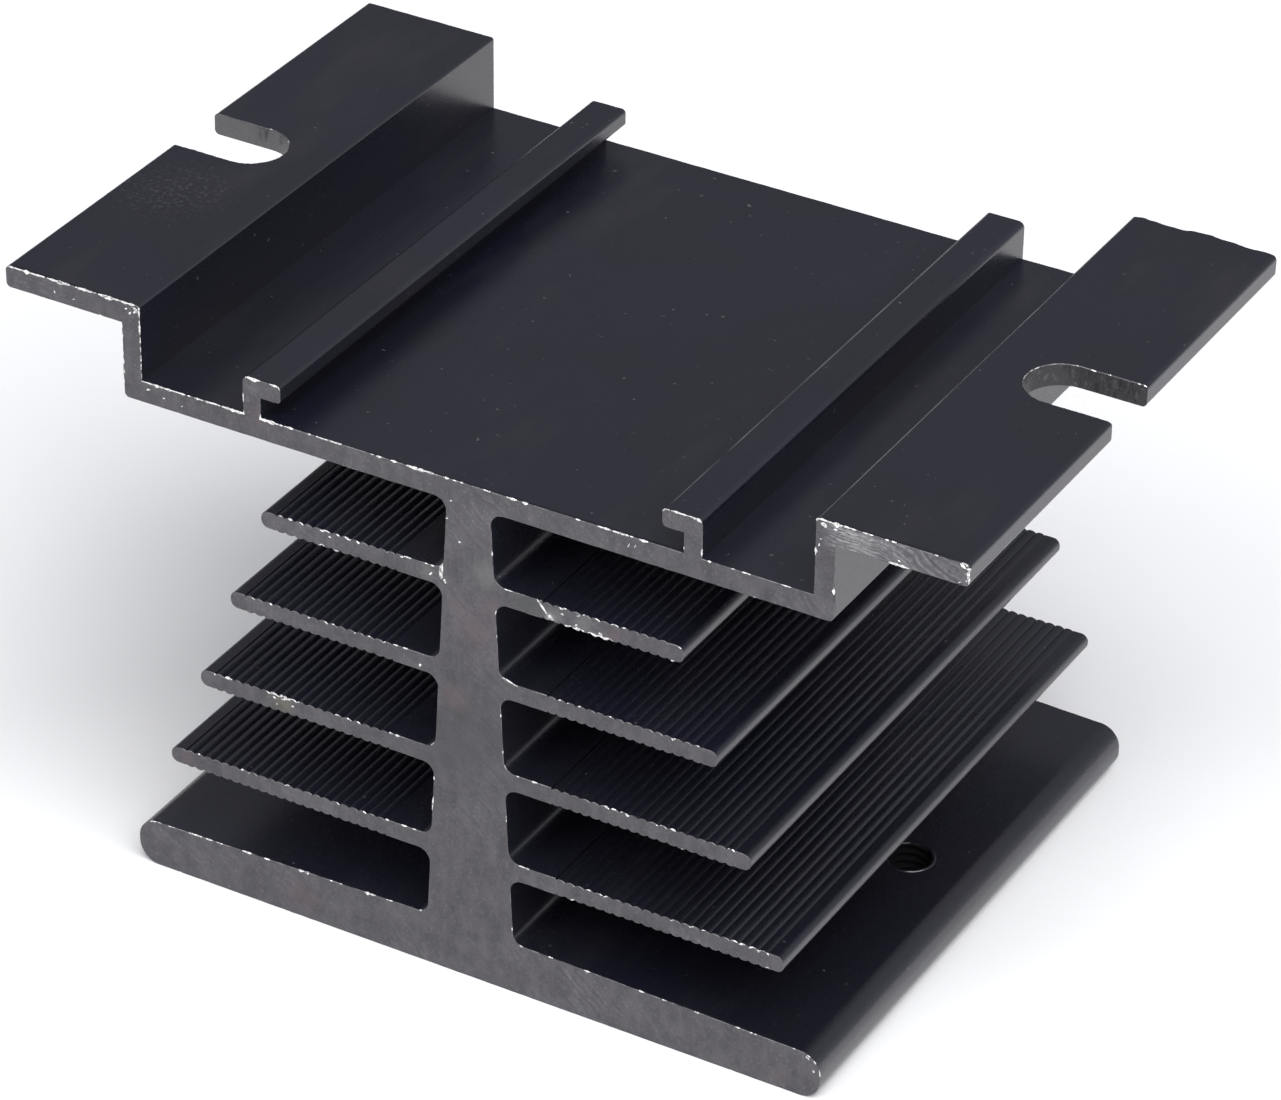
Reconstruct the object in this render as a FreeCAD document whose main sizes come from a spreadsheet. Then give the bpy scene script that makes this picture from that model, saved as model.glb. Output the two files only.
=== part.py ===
import FreeCAD, Part
import math
import os
import Sketcher

# An extruded aluminium heat sink. A thick foot takes the hot device, a tapered stem carries pairs of
# ribbed fins above it, and the plate on top has two hooks for a 35 mm rail and two screw-slot wings.
# The extrusion runs along Y, its width is X and its height Z. The origin is the middle of the foot's
# lower face. The right half is drawn, and the left half is its mirror image.

LABEL = "heat_sink"

# Name, size in millimetres, and what it measures.
SIZES = (
    ("length", 50.0, "sawn length of the extrusion"),
    ("foot_width", 60.0, "foot, edge to edge"),
    ("foot_edge_thickness", 4.0, "foot at its edges"),
    ("foot_middle_thickness", 4.6, "foot under the stem"),
    ("foot_edge_radius", 1.8, "rounding of the foot's edges"),
    ("stem_foot_width", 8.0, "stem at the foot's lower face"),
    ("stem_top_width", 3.5, "stem at the plate's upper face"),
    ("root_radius", 1.0, "fillet where fins, foot and plate leave the stem"),
    ("plate_height", 43.7, "plate's upper face above the foot's lower face"),
    ("plate_thickness", 1.8, "plate"),
    ("box_width", 59.4, "over the two walls"),
    ("wall_thickness", 1.6, "walls that carry the wings"),
    ("wall_foot_radius", 0.4, "rounding of the walls' lower corners"),
    ("wing_rise", 6.3, "wings' upper face above the plate's"),
    ("wing_reach", 10.3, "wing beyond its wall"),
    ("wing_thickness", 1.8, "wings"),
    ("wing_edge_radius", 0.4, "rounding of the wings' outer edges"),
    ("wing_root_radius", 0.25, "rounding of the wings' inner upper edges"),
    ("slot_width", 5.8, "screw slots in the wings"),
    ("slot_depth", 8.2, "screw slots, from the wing's edge to their round end"),
    ("rail_width", 35.4, "clear width between the hooks' legs"),
    ("hook_rise", 3.2, "hooks above the plate"),
    ("hook_leg_thickness", 1.5, "hooks' legs"),
    ("hook_lip_thickness", 1.5, "hooks' lips"),
    ("hook_lip_reach", 1.75, "lip beyond its leg"),
    ("hook_back_radius", 0.5, "rounding of the hooks' backs"),
    ("hook_lip_radius", 0.35, "rounding of the lips' ends"),
    ("fin_pairs", 4, "pairs of fins"),
    ("low_fin_height", 11.1, "middle of the lowest fins above the foot's lower face"),
    ("top_fin_drop", 8.6, "middle of the highest fins below the plate's upper face"),
    ("low_fin_span", 53.4, "lowest fins, tip to tip"),
    ("top_fin_span", 35.8, "highest fins, tip to tip"),
    ("fin_thickness", 1.5, "fins over their ribs"),
    ("fin_tip_thickness", 1.4, "plain bead at the fins' tips"),
    ("fin_tip_width", 1.3, "width of that bead"),
    ("fin_tip_radius", 0.62, "rounding of the fins' tips"),
    ("fin_root_width", 4.0, "plain band between the stem and the ribs"),
    ("rib_pitch", 0.8, "ribs on the fins, about"),
    ("rib_height", 0.15, "ribs, from valley to back"),
    ("screw_spacing", 47.6, "between the two tapped holes in the foot"),
    ("screw_set_back", 0.7, "tapped holes behind the middle of the length"),
    ("screw_bore", 3.3, "core diameter of the M4 thread"),
)

# A rounding takes at most this share of the edge it rounds, so that a little of the edge stays flat.
EDGE_SHARE = 0.46
# Cutters reach this far beyond the surface that they leave.
OVERSHOOT = 1.0
# Two places nearer than this are the same place.
NEAR = 0.001

doc = FreeCAD.newDocument("HeatSink")
sheet = doc.addObject("Spreadsheet::Sheet", "Sizes")
for row, (alias, number, meaning) in enumerate(SIZES, 1):
    sheet.set(f"A{row}", meaning)
    sheet.set(f"B{row}", str(number))
    sheet.setAlias(f"B{row}", alias)
doc.recompute()


class Formula:
    """A length with its value now and the text that works it out from the sheet's cells."""

    def __init__(self, text, value):
        self.text = text
        self.value = value

    def join(self, sign, other, value):
        return Formula(f"({self.text} {sign} {other.text})", value)

    def __add__(self, other):
        other = formula(other)
        return self.join("+", other, self.value + other.value)

    def __sub__(self, other):
        other = formula(other)
        return self.join("-", other, self.value - other.value)

    def __mul__(self, other):
        other = formula(other)
        return self.join("*", other, self.value * other.value)

    def __truediv__(self, other):
        other = formula(other)
        return self.join("/", other, self.value / other.value)


def formula(length):
    """A bare number as a formula."""
    return length if isinstance(length, Formula) else Formula(str(length), length)


def size(alias):
    """The formula that reads one cell of the sheet."""
    return Formula(f"Sizes.{alias}", float(sheet.get(alias)))


def smaller(one, other):
    """The formula for the smaller of two lengths."""
    return Formula(f"min({one.text}; {other.text})", min(one.value, other.value))


ZERO = formula(0)

body = doc.addObject("PartDesign::Body", "HeatSinkBody")
body.Label = LABEL


def origin_feature(role):
    """One of the body's own origin planes or axes."""
    return next(feature for feature in body.Origin.OriginFeatures if feature.Role == role)


def new_sketch(name, role):
    """An empty sketch on one of the body's origin planes."""
    sketch = body.newObject("Sketcher::SketchObject", name)
    sketch.AttachmentSupport = [(origin_feature(role), "")]
    sketch.MapMode = "FlatFace"
    return sketch


class Dimensions:
    """The constraints of one sketch, added together once they are all listed."""

    def __init__(self, sketch):
        self.sketch = sketch
        self.constraints = []
        self.formulas = {}

    def tie(self, *constraint):
        """A constraint with no size, such as two ends that meet."""
        self.constraints.append(Sketcher.Constraint(*constraint))

    def measure(self, length, *constraint):
        """A constraint whose size is a formula."""
        self.formulas[len(self.constraints)] = length.text
        self.constraints.append(Sketcher.Constraint(*constraint, length.value))

    def place(self, geometry, point, across, up):
        """Dimensions one point from the sketch's origin, or ties it to an axis that it lies on."""
        for kind, axis, length in (("DistanceX", -2, across), ("DistanceY", -1, up)):
            if length is ZERO:
                self.tie("PointOnObject", geometry, point, axis)
            else:
                self.measure(length, kind, -1, 1, geometry, point)

    def add(self):
        """Gives the list to the sketch and binds each size to its formula."""
        self.sketch.addConstraint(self.constraints)
        for number, text in self.formulas.items():
            self.sketch.setExpression(f"Constraints[{number}]", text)


def bulge(start, end, radius):
    """An arc that swells to the right of the way from start to end."""
    chord = end - start
    rise = math.sqrt(radius ** 2 - chord.Length ** 2 / 4)
    left = FreeCAD.Vector(-chord.y, chord.x, 0).normalize()
    centre = (start + end) / 2 + left * rise
    first, last = (math.atan2(point.y - centre.y, point.x - centre.x) for point in (start, end))
    return Part.ArcOfCircle(Part.Circle(centre, FreeCAD.Vector(0, 0, 1), radius), first, last)


def outline(name, corners, role="XZ_Plane"):
    """A closed outline, drawn counter-clockwise, in the section unless another plane is named.

    Each corner is its formulas across and up. A third one makes the side that follows an arc, and is
    its radius.
    """
    sketch = new_sketch(name, role)
    points = [FreeCAD.Vector(corner[0].value, corner[1].value, 0) for corner in corners]
    dimensions = Dimensions(sketch)
    sides = []
    for number, (across, up, *radius) in enumerate(corners):
        following = (number + 1) % len(corners)
        start, end = points[number], points[following]
        sides.append(bulge(start, end, radius[0].value) if radius else Part.LineSegment(start, end))
        dimensions.tie("Coincident", number, 2, following, 1)
        dimensions.place(number, 1, across, up)
        if radius:
            dimensions.measure(radius[0], "Radius", number)
    sketch.addGeometry(sides, False)
    dimensions.add()
    return sketch


def extrude(sketch, name):
    """Adds a part of the section over the whole length, half of it on each side of the origin."""
    pad = body.newObject("PartDesign::Pad", name)
    pad.Profile = sketch
    pad.SideType = "Symmetric"
    pad.setExpression("Length", size("length").text)
    doc.recompute()


# Stem. It tapers from the foot to the plate, by about three degrees a side.
def stem_half_width(height):
    narrowing = size("stem_top_width") - size("stem_foot_width")
    return (size("stem_foot_width") + narrowing * height / size("plate_height")) / 2


stem = outline("StemSection", (
    (ZERO, ZERO),
    (size("stem_foot_width") / 2, ZERO),
    (size("stem_top_width") / 2, size("plate_height")),
    (ZERO, size("plate_height")),
))
extrude(stem, "Stem")

# Foot. Its lower face is flat for the device, and its upper face falls a little towards the edges.
foot = outline("FootSection", (
    (ZERO, ZERO),
    (size("foot_width") / 2, ZERO),
    (size("foot_width") / 2, size("foot_edge_thickness")),
    (ZERO, size("foot_middle_thickness")),
))
extrude(foot, "Foot")

# Plate, wall and wing: one bent band. The wall stands on the plate and carries the wing outwards.
plate_top = size("plate_height")
plate_low = plate_top - size("plate_thickness")
wall_out = size("box_width") / 2
wall_in = wall_out - size("wall_thickness")
wing_out = wall_out + size("wing_reach")
wing_top = plate_top + size("wing_rise")
wing_low = wing_top - size("wing_thickness")
band = outline("PlateSection", (
    (ZERO, plate_low),
    (wall_out, plate_low),
    (wall_out, wing_low),
    (wing_out, wing_low),
    (wing_out, wing_top),
    (wall_in, wing_top),
    (wall_in, plate_top),
    (ZERO, plate_top),
))
extrude(band, "PlateWallAndWing")

# Hook. Its leg stands on the plate, and its lip reaches inwards over the rail's flange.
leg_in = size("rail_width") / 2
leg_out = leg_in + size("hook_leg_thickness")
lip_end = leg_in - size("hook_lip_reach")
hook_top = plate_top + size("hook_rise")
lip_low = hook_top - size("hook_lip_thickness")
hook = outline("HookSection", (
    (leg_in, plate_low),
    (leg_out, plate_low),
    (leg_out, hook_top),
    (lip_end, hook_top),
    (lip_end, lip_low),
    (leg_in, lip_low),
))
extrude(hook, "Hook")

# Fins. Their tips lie on one straight slope. Each has a plain band at the stem and a plain bead at its
# tip, and between them a thinner core, which the ribs then cover on both faces.
fin_pairs = round(size("fin_pairs").value)
fin_half = size("fin_thickness") / 2
valley_half = fin_half - size("rib_height")
bead_half = size("fin_tip_thickness") / 2


def along_fins(lowest, highest, number):
    """A length that goes evenly from the lowest fin's to the highest fin's. Fin 0 is the lowest."""
    return lowest + (highest - lowest) * number / max(fin_pairs - 1, 1)


def fin_height(number):
    return along_fins(size("low_fin_height"), plate_top - size("top_fin_drop"), number)


def fin_end(number):
    return along_fins(size("low_fin_span"), size("top_fin_span"), number) / 2


def rib_field(number):
    """The two places between which a fin carries ribs."""
    start = stem_half_width(fin_height(number)) + size("fin_root_width")
    return start, fin_end(number) - size("fin_tip_width")


fins = []
for number in range(fin_pairs):
    height = fin_height(number)
    start, bead = rib_field(number)
    face = ((ZERO, fin_half), (start, fin_half), (start, valley_half / 2),
            (bead, valley_half / 2), (bead, bead_half), (fin_end(number), bead_half))
    lower = [(across, height - half) for across, half in face]
    upper = [(across, height + half) for across, half in reversed(face)]
    fins.append(outline(f"FinSection{number}", lower + upper))
    extrude(fins[number], f"Fin{number}")


def round_long_edges(name, radius, chosen):
    """Rounds the edges that run along the extrusion and for which chosen(x, z) is true."""
    base = body.Tip
    picked = []
    for number, edge in enumerate(base.Shape.Edges, 1):
        start, end = edge.Vertexes[0].Point, edge.Vertexes[-1].Point
        runs_along = abs(abs(end.y - start.y) - size("length").value) < NEAR
        if runs_along and chosen(start.x, start.z):
            picked.append(f"Edge{number}")
    fillet = body.newObject("PartDesign::Fillet", name)
    fillet.Base = (base, picked)
    fillet.setExpression("Radius", radius.text)
    doc.recompute()


def corners_of(sketch, *numbers):
    """A test for the edges that come from some corners of an outline."""
    places = [sketch.Geometry[number].StartPoint for number in numbers]
    return lambda x, z: any(abs(x - place.x) < NEAR and abs(z - place.y) < NEAR for place in places)


def within(radius, thickness):
    """A rounding, or the largest one that the thickness leaves room for."""
    return smaller(size(radius), size(thickness) * EDGE_SHARE)


# Roundings. They are large where the fins leave the stem, and small on the outer corners.
stem_half = size("stem_foot_width").value / 2
round_long_edges("StemRoots", size("root_radius"), lambda x, z: NEAR < x < stem_half)
round_long_edges("FootEdges", within("foot_edge_radius", "foot_edge_thickness"), corners_of(foot, 1, 2))
for number, fin in enumerate(fins):
    tip_radius = within("fin_tip_radius", "fin_tip_thickness")
    round_long_edges(f"FinTip{number}", tip_radius, corners_of(fin, 5, 6))
round_long_edges("WallFoot", within("wall_foot_radius", "wall_thickness"), corners_of(band, 1))
round_long_edges("WingEdges", within("wing_edge_radius", "wing_thickness"), corners_of(band, 3, 4))
round_long_edges("WingRoot", within("wing_root_radius", "wall_thickness"), corners_of(band, 5))
round_long_edges("HookBack", within("hook_back_radius", "hook_leg_thickness"), corners_of(hook, 2))
round_long_edges("LipEnd", within("hook_lip_radius", "hook_lip_thickness"), corners_of(hook, 3, 4))

# Screw slot. It is punched through the wing at mid-length, and is open at the wing's edge.
slot_half = size("slot_width") / 2
slot_end = wing_out - size("slot_depth")
slot = outline("SlotSection", (
    (slot_end + slot_half, ZERO - slot_half),
    (wing_out + OVERSHOOT, ZERO - slot_half),
    (wing_out + OVERSHOOT, slot_half),
    (slot_end + slot_half, slot_half, slot_half),
    (slot_end, ZERO, slot_half),
), "XY_Plane")
slot.setExpression("AttachmentOffset.Base.z", wing_top.text)
punch = body.newObject("PartDesign::Pocket", "Slot")
punch.Profile = slot
punch.setExpression("Length", (size("wing_thickness") + OVERSHOOT).text)
doc.recompute()

# Tapped hole for one of the device's two screws, drilled from below through the foot only.
screw_place = new_sketch("ScrewPlace", "XY_Plane")
centre = FreeCAD.Vector(size("screw_spacing").value / 2, size("screw_set_back").value, 0)
circle = Part.Circle(centre, FreeCAD.Vector(0, 0, 1), size("screw_bore").value / 2)
screw_place.addGeometry(circle, False)
dimensions = Dimensions(screw_place)
dimensions.measure(size("screw_bore"), "Diameter", 0)
dimensions.place(0, 3, size("screw_spacing") / 2, size("screw_set_back"))
dimensions.add()
doc.recompute()
bore = body.newObject("PartDesign::Hole", "ScrewBore")
bore.Profile = screw_place
bore.DepthType = "Dimension"
bore.DrillPoint = "Flat"
bore.Reversed = True
bore.setExpression("Depth", (size("foot_middle_thickness") + OVERSHOOT).text)
bore.setExpression("Diameter", size("screw_bore").text)
doc.recompute()

# Ribs. A row of equal round backs stands on each face of a fin, side by side, with sharp valleys.
def rib_row(name, first, last, valley, middle):
    """Draws a row from first to last, with its valleys on one level, and closes it at the fin's middle."""
    count = max(round(abs(last.value - first.value) / size("rib_pitch").value), 2)
    width = (last - first) / count
    radius = (width * width / size("rib_height") / 4 + size("rib_height")) / 2

    sketch = new_sketch(f"{name}Section", "XZ_Plane")
    dimensions = Dimensions(sketch)
    feet = [FreeCAD.Vector(first.value + width.value * rib, valley.value, 0) for rib in range(count + 1)]
    sides = [bulge(start, end, radius.value) for start, end in zip(feet, feet[1:])]
    inner_last = FreeCAD.Vector(last.value, middle.value, 0)
    inner_first = FreeCAD.Vector(first.value, middle.value, 0)
    sides.append(Part.LineSegment(feet[-1], inner_last))
    sides.append(Part.LineSegment(inner_last, inner_first))
    sides.append(Part.LineSegment(inner_first, feet[0]))
    for side in range(len(sides)):
        dimensions.tie("Coincident", side, 2, (side + 1) % len(sides), 1)
    for rib in range(count):
        dimensions.tie("Horizontal", rib, 1, rib, 2)
    for rib in range(1, count):
        dimensions.tie("Equal", 0, rib)
        dimensions.tie("Horizontal", 0, 3, rib, 3)
    dimensions.tie("Vertical", count)
    dimensions.tie("Horizontal", count + 1)
    dimensions.tie("Vertical", count + 2)
    dimensions.place(0, 1, first, valley)
    dimensions.measure(width, "DistanceX", 0, 1, 0, 2)
    dimensions.measure(radius, "Radius", 0)
    dimensions.measure(middle, "DistanceY", -1, 1, count + 1, 1)
    sketch.addGeometry(sides, False)
    dimensions.add()
    extrude(sketch, name)


for number in range(fin_pairs):
    start, bead = rib_field(number)
    height = fin_height(number)
    rib_row(f"LowerRibs{number}", start, bead, height - valley_half, height)
    rib_row(f"UpperRibs{number}", bead, start, height + valley_half, height)

# The left half.
whole = body.newObject("PartDesign::Mirrored", "LeftHalf")
whole.TransformMode = "Whole shape"
whole.MirrorPlane = (origin_feature("YZ_Plane"), [""])
body.Tip = whole
body.Placement = FreeCAD.Placement()
doc.recompute()

failed = [item.Name for item in doc.Objects if {"Invalid", "Error"} & set(item.State)]
if failed:
    raise RuntimeError(f"these features failed: {failed}")
if body.Shape.isNull() or not body.Shape.isValid() or len(body.Shape.Solids) != 1:
    raise RuntimeError("the heat sink isn't one valid solid")

os.makedirs("parts", exist_ok=True)
body.Shape.exportStep(f"parts/{body.Label}.step")
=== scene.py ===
import math

import bmesh
import bpy
from mathutils import Matrix, Vector, noise


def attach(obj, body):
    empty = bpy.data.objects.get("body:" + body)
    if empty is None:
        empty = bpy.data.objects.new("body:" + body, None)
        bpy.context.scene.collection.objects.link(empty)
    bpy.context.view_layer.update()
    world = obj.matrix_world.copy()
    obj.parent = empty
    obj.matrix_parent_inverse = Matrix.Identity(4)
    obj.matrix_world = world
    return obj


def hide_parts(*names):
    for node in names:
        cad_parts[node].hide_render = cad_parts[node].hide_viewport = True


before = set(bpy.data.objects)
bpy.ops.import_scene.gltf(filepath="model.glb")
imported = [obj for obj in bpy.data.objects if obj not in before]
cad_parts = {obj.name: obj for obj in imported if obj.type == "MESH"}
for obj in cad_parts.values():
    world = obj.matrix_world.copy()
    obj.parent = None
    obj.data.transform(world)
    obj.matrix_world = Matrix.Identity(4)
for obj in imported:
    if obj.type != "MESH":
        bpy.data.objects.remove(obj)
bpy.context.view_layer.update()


# Worked grain, for every metal here: the lines and lumps that a die, a saw, a punch or a tearing edge
# leaves. It is noise, turned and drawn out along the tool's way, and a band of it makes the mask.
def add_node(tree, kind, sockets=None, **settings):
    """A shader node with its settings. Each socket gets a value, or a link where it is given an output."""
    node = tree.nodes.new(kind)
    for name, value in settings.items():
        setattr(node, name, value)
    for name, value in (sockets or {}).items():
        if isinstance(value, bpy.types.NodeSocket):
            tree.links.new(value, node.inputs[name])
        else:
            node.inputs[name].default_value = value
    return node


def ramp(tree, value, start, end, low=0.0, high=1.0, **settings):
    """A value that goes from low to high while the one given goes from start to end."""
    node = add_node(tree, "ShaderNodeMapRange", {
        "Value": value, "From Min": start, "From Max": end, "To Min": low, "To Max": high}, **settings)
    return node.outputs["Result"]


def effect_group(name, inputs, output):
    """A node group for an effect. Each input is (name, kind of socket, value), and the output is a mask."""
    group = bpy.data.node_groups.new(name, "ShaderNodeTree")
    for label, kind, value in inputs:
        group.interface.new_socket(label, in_out="INPUT", socket_type=kind).default_value = value
    group.interface.new_socket(output, in_out="OUTPUT", socket_type="NodeSocketFloat")
    given = group.nodes.new("NodeGroupInput").outputs
    return group, given, group.nodes.new("NodeGroupOutput").inputs[output]


worked_grain, given, result = effect_group("worked_grain", (
    ("Place", "NodeSocketVector", (0.0, 0.0, 0.0)),
    ("Turn", "NodeSocketVector", (0.0, 0.0, 0.0)),
    ("Draw", "NodeSocketVector", (1.0, 1.0, 1.0)),
    ("Fineness", "NodeSocketFloat", 1000.0),
    ("Low", "NodeSocketFloat", 0.3),
    ("High", "NodeSocketFloat", 0.7),
), "Mask")
drawn = add_node(worked_grain, "ShaderNodeMapping", {
    "Vector": given["Place"], "Rotation": given["Turn"], "Scale": given["Draw"]})
lumps = add_node(worked_grain, "ShaderNodeTexNoise", {
    "Vector": drawn.outputs["Vector"], "Scale": given["Fineness"], "Detail": 3.0, "Roughness": 0.6})
held = ramp(worked_grain, lumps.outputs["Fac"], given["Low"], given["High"])
worked_grain.links.new(held, result)


def grain(tree, place, fineness, low, high, draw=(1.0, 1.0, 1.0), turn=(0.0, 0.0, 0.0)):
    """Places the worked grain in a material. Fineness is in lumps to the metre, and turn is in degrees."""
    node = add_node(tree, "ShaderNodeGroup", node_tree=worked_grain)
    settings = {"Fineness": fineness, "Low": low, "High": high, "Draw": draw,
                "Turn": tuple(math.radians(angle) for angle in turn)}
    for name, value in settings.items():
        node.inputs[name].default_value = value
    tree.links.new(place, node.inputs["Place"])
    return node.outputs["Mask"]


# Black skin. The extrusion is etched matt and dyed in the anodising bath before it is sawn to length.
# The die's faint lines run along it. It carries a little dust, a few dull rubs, and a haze on one wing.
MM = 0.001
DYE = (0.0056, 0.0059, 0.0138)
DYE_WARMER = (0.0063, 0.0064, 0.0110)
RUBBED = (0.0135, 0.0133, 0.0180)
DUST = (0.085, 0.085, 0.095)
HAZE_CENTRE = (-35.8 * MM, -9.0 * MM, 50.0 * MM)
HAZE_RADIUS = 6.0 * MM
STAIN_FADE = (1.6, 0.5)
SKIN_ROUGHNESS = (0.26, 0.32)
ETCH_DEPTH = 0.0012 * MM
DIE_LINE_DEPTH = 0.0004 * MM

stain, given, result = effect_group("stain", (
    ("Place", "NodeSocketVector", (0.0, 0.0, 0.0)),
    ("Centre", "NodeSocketVector", (0.0, 0.0, 0.0)),
    ("Radius", "NodeSocketFloat", 0.001),
), "Mask")


def combine(tree, operation, *values, **settings):
    """The result of one sum on numbers and sockets."""
    node = add_node(tree, "ShaderNodeMath", dict(enumerate(values)), operation=operation, **settings)
    return node.outputs[0]


blot = add_node(stain, "ShaderNodeTexNoise", {"Vector": given["Place"], "Scale": 1600.0, "Detail": 3.0})
away = add_node(stain, "ShaderNodeVectorMath", {0: given["Place"], 1: given["Centre"]}, operation="DISTANCE")
radii_away = combine(stain, "DIVIDE", away.outputs["Value"], given["Radius"])
ragged = combine(stain, "ADD", radii_away, blot.outputs["Fac"])
stain.links.new(ramp(stain, ragged, *STAIN_FADE, interpolation_type="SMOOTHSTEP"), result)


def blotted(tree, place, centre, radius):
    """Places one stain in a material."""
    node = add_node(tree, "ShaderNodeGroup", node_tree=stain)
    node.inputs["Centre"].default_value = centre
    node.inputs["Radius"].default_value = radius
    tree.links.new(place, node.inputs["Place"])
    return node.outputs["Mask"]


def new_material(name, roughness, metallic=0.0, ior=1.5):
    """A material with a shader, and the place on the object that its effects read."""
    material = bpy.data.materials.new(name)
    material.use_nodes = True
    tree = material.node_tree
    tree.nodes.clear()
    shader = add_node(tree, "ShaderNodeBsdfPrincipled", {
        "Roughness": roughness, "Metallic": metallic, "IOR": ior})
    add_node(tree, "ShaderNodeOutputMaterial", {"Surface": shader.outputs["BSDF"]})
    return material, tree, shader, add_node(tree, "ShaderNodeTexCoord").outputs["Object"]


def lay_over(tree, mask, under, over, share=1.0):
    """One colour laid over another where the mask is, by a share. A colour is a socket or three numbers."""
    factor = combine(tree, "MULTIPLY", mask, share)
    node = add_node(tree, "ShaderNodeMix", {"Factor": factor}, data_type="RGBA")
    for colour, socket in ((under, node.inputs["A"]), (over, node.inputs["B"])):
        if isinstance(colour, tuple):
            socket.default_value = (*colour, 1.0)
        else:
            tree.links.new(colour, socket)
    return node.outputs["Result"]


def raise_by(tree, shader, *layers):
    """Bump from layers of (mask, depth in metres), one on another."""
    normal = None
    for mask, depth in layers:
        bump = add_node(tree, "ShaderNodeBump", {"Height": mask, "Distance": depth})
        if normal:
            tree.links.new(normal, bump.inputs["Normal"])
        normal = bump.outputs["Normal"]
    tree.links.new(normal, shader.inputs["Normal"])


black_skin, tree, shader, place = new_material("black_anodised", roughness=0.3, ior=1.8)
uneven_dye = grain(tree, place, fineness=60.0, low=0.35, high=0.65)
rubs = grain(tree, place, fineness=150.0, low=0.55, high=0.80, draw=(1.0, 0.3, 1.0))
dust = grain(tree, place, fineness=1700.0, low=0.70, high=0.76)
haze_specks = grain(tree, place, fineness=2600.0, low=0.52, high=0.68)
haze = combine(tree, "MULTIPLY", blotted(tree, place, HAZE_CENTRE, HAZE_RADIUS), haze_specks)
colour = lay_over(tree, uneven_dye, DYE, DYE_WARMER)
colour = lay_over(tree, rubs, colour, RUBBED)
colour = lay_over(tree, dust, colour, DUST)
colour = lay_over(tree, haze, colour, DUST, share=0.45)
tree.links.new(colour, shader.inputs["Base Color"])
etch = grain(tree, place, fineness=5200.0, low=0.25, high=0.75)
die_lines = grain(tree, place, fineness=3600.0, low=0.3, high=0.7, draw=(1.0, 0.03, 1.0))
tree.links.new(ramp(tree, etch, 0.0, 1.0, *SKIN_ROUGHNESS), shader.inputs["Roughness"])
raise_by(tree, shader, (die_lines, DIE_LINE_DEPTH), (etch, ETCH_DEPTH))

# Painted highlight on the drawn corners. The inner top corners of the right hook and the right wing are
# painted grey as a fine broken line, where their rounding catches the light.
CORNER_HIGHLIGHT_GREY = (0.110, 0.108, 0.124)
CORNER_BUMP_DEPTH = 0.004 * MM

painted_corner_highlight, tree, shader, place = new_material("painted_corner_highlight", roughness=0.4, ior=1.8)
# Painted highlight: a grey broken line laid over the dye, with a faint bump along it.
highlight_breaks = grain(tree, place, fineness=1400.0, low=0.30, high=0.62, draw=(1.0, 0.12, 1.0))
tree.links.new(lay_over(tree, highlight_breaks, DYE, CORNER_HIGHLIGHT_GREY), shader.inputs["Base Color"])
raise_by(tree, shader, (highlight_breaks, CORNER_BUMP_DEPTH))

# Sawn ends. A large blade cuts through the skin to plain aluminium, which has dulled to a purplish
# grey. It leaves slanting arcs, deepest in the right wing, and handling has stained the metal.
END = 25.0 * MM
SAWN = (0.065, 0.061, 0.070)
SAWN_DARK = (0.045, 0.042, 0.048)
SAWN_CLOUD = (0.072, 0.068, 0.078)
SAWN_SMEAR = (0.094, 0.089, 0.099)
SAWN_LIGHT = (0.150, 0.147, 0.154)
SCORED = (0.420, 0.410, 0.420)
MOTTLE_DEPTH = 0.006 * MM
SCORE_DEPTH = 0.030 * MM
# The centres that the arcs run round, how many to the metre, and how far they stray.
BLADE_CENTRE = (-60.0 * MM, -END, -60.0 * MM)
BLADE_FINENESS = 2900.0
WING_CENTRE = (29.8 * MM, -END, 34.7 * MM)
WING_FINENESS = 3300.0
ARC_STRAY = 2.2 * MM
# Where the right wing's deep arcs set in, are full and have faded, going outwards, and how low they reach.
WING_MARKS_FROM = 28.6 * MM
WING_MARKS_TO = 30.0 * MM
WING_MARKS_FADED = 36.5 * MM
WING_MARKS_LEFT = 0.3
WING_MARKS_ABOVE = 47.8 * MM
PATCH_SHARE = 0.13
RUST_PINK = (0.092, 0.065, 0.075)
OIL_YELLOW = (0.130, 0.122, 0.085)
OIL_GREEN = (0.047, 0.054, 0.045)
WORN_LIGHT = (0.135, 0.133, 0.130)
DULLED = (0.042, 0.040, 0.044)
# Each stain: its centre across and up, and its radius, all in millimetres, and its colour.
STAINS = (
    (2.0, 33.8, 1.6, RUST_PINK), (-1.0, 33.0, 1.1, RUST_PINK), (26.5, 1.2, 1.0, RUST_PINK),
    (-15.0, 2.0, 2.0, RUST_PINK), (-25.2, 11.1, 1.0, RUST_PINK), (12.1, 34.9, 1.0, RUST_PINK),
    (-17.5, 44.0, 1.4, RUST_PINK), (-16.4, 19.3, 1.5, OIL_YELLOW), (-16.7, 18.8, 0.7, OIL_GREEN),
    (4.9, 35.2, 1.5, OIL_GREEN), (7.2, 34.9, 1.0, WORN_LIGHT), (6.9, 34.7, 0.5, SCORED),
    (9.6, 35.0, 1.2, WORN_LIGHT), (0.0, 22.0, 9.0, DULLED), (1.5, 36.5, 1.8, WORN_LIGHT),
    (0.6, 31.5, 2.2, RUST_PINK), (-1.2, 25.0, 1.6, RUST_PINK), (-3.6, 35.2, 0.9, WORN_LIGHT),
    (31.5, 48.7, 1.6, WORN_LIGHT),
)
STAIN_SHARE = 0.6

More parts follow.
